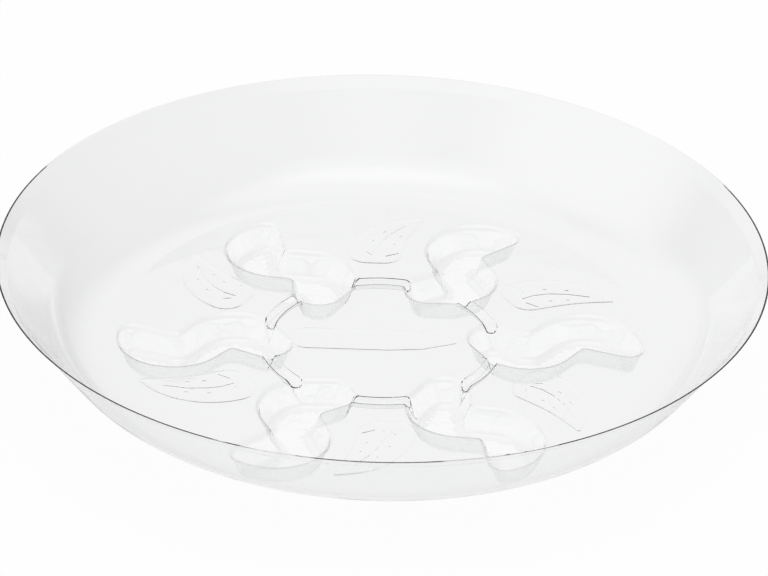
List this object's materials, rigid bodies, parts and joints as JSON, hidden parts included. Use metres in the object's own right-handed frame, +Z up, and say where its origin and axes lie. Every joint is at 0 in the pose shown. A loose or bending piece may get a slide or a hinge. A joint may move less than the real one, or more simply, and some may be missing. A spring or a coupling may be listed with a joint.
{
  "type": "plant saucer",
  "caption": "Round clear plastic plant saucer with a leaning wall, S-shaped hollow feet joined by a ring channel, and a sunk leaf pattern in its floor.",
  "frame": {"origin": "middle of the plane that the feet stand on, under the centre of the rim", "axes": "+Z up through the rim's centre, +X through the middle of one foot"},
  "size_m": [0.3048, 0.3048, 0.051],
  "materials": {
    "clear_plastic": "clear glossy plastic sheet"
  },
  "bodies": {
    "root": {"saucer": "clear_plastic"}
  },
  "joints": []
}
